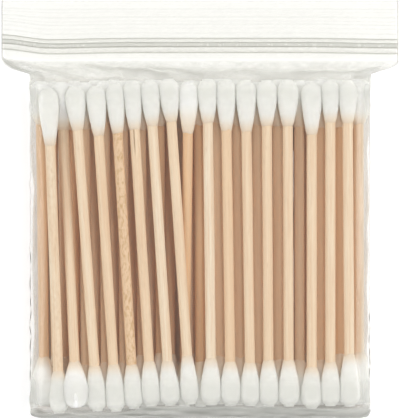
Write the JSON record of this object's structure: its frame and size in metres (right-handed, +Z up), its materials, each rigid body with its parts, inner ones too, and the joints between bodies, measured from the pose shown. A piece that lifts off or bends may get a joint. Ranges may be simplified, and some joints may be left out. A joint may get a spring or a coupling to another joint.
{
  "type": "cotton swab zip bag",
  "caption": "Clear press-to-close bag packed full of wooden-stick cotton swabs in nested rows, lying on its back, with a flat zip header.",
  "frame": {"origin": "under the middle of the whole bag, on the surface that its back lies on", "axes": "+X across the bag to the right, +Y along the swabs from the fold to the zip and lips, +Z up out of the front panel"},
  "size_m": [0.091, 0.0958, 0.0193],
  "materials": {
    "film": "clear glossy film",
    "zip": "translucent, glossy",
    "wood": "plain birch, unfinished",
    "cotton": "soft, matt, wound fibre"
  },
  "bodies": {
    "root": {"back_zip_strip": "zip", "front_zip_strip": "zip", "row_2_bottom_cotton": "cotton", "row_2_sticks": "wood", "row_2_top_cotton": "cotton", "row_3_bottom_cotton": "cotton", "row_3_sticks": "wood", "row_3_top_cotton": "cotton", "row_4_bottom_cotton": "cotton", "row_4_sticks": "wood", "row_4_top_cotton": "cotton", "row_5_bottom_cotton": "cotton", "row_5_sticks": "wood", "row_5_top_cotton": "cotton", "swab_01_bottom_cotton": "cotton", "swab_01_stick": "wood", "swab_01_top_cotton": "cotton", "swab_02_bottom_cotton": "cotton", "swab_02_stick": "wood", "swab_02_top_cotton": "cotton", "swab_03_bottom_cotton": "cotton", "swab_03_stick": "wood", "swab_03_top_cotton": "cotton", "swab_04_bottom_cotton": "cotton", "swab_04_stick": "wood", "swab_04_top_cotton": "cotton", "swab_05_bottom_cotton": "cotton", "swab_05_stick": "wood", "swab_05_top_cotton": "cotton", "swab_06_bottom_cotton": "cotton", "swab_06_stick": "wood", "swab_06_top_cotton": "cotton", "swab_07_bottom_cotton": "cotton", "swab_07_stick": "wood", "swab_07_top_cotton": "cotton", "swab_08_bottom_cotton": "cotton", "swab_08_stick": "wood", "swab_08_top_cotton": "cotton", "swab_09_bottom_cotton": "cotton", "swab_09_stick": "wood", "swab_09_top_cotton": "cotton", "swab_10_bottom_cotton": "cotton", "swab_10_stick": "wood", "swab_10_top_cotton": "cotton", "swab_11_bottom_cotton": "cotton", "swab_11_stick": "wood", "swab_11_top_cotton": "cotton", "swab_12_bottom_cotton": "cotton", "swab_12_stick": "wood", "swab_12_top_cotton": "cotton", "swab_13_bottom_cotton": "cotton", "swab_13_stick": "wood", "swab_13_top_cotton": "cotton", "swab_14_bottom_cotton": "cotton", "swab_14_stick": "wood", "swab_14_top_cotton": "cotton", "swab_15_bottom_cotton": "cotton", "swab_15_stick": "wood", "swab_15_top_cotton": "cotton", "zip_bag": "film"}
  },
  "joints": []
}
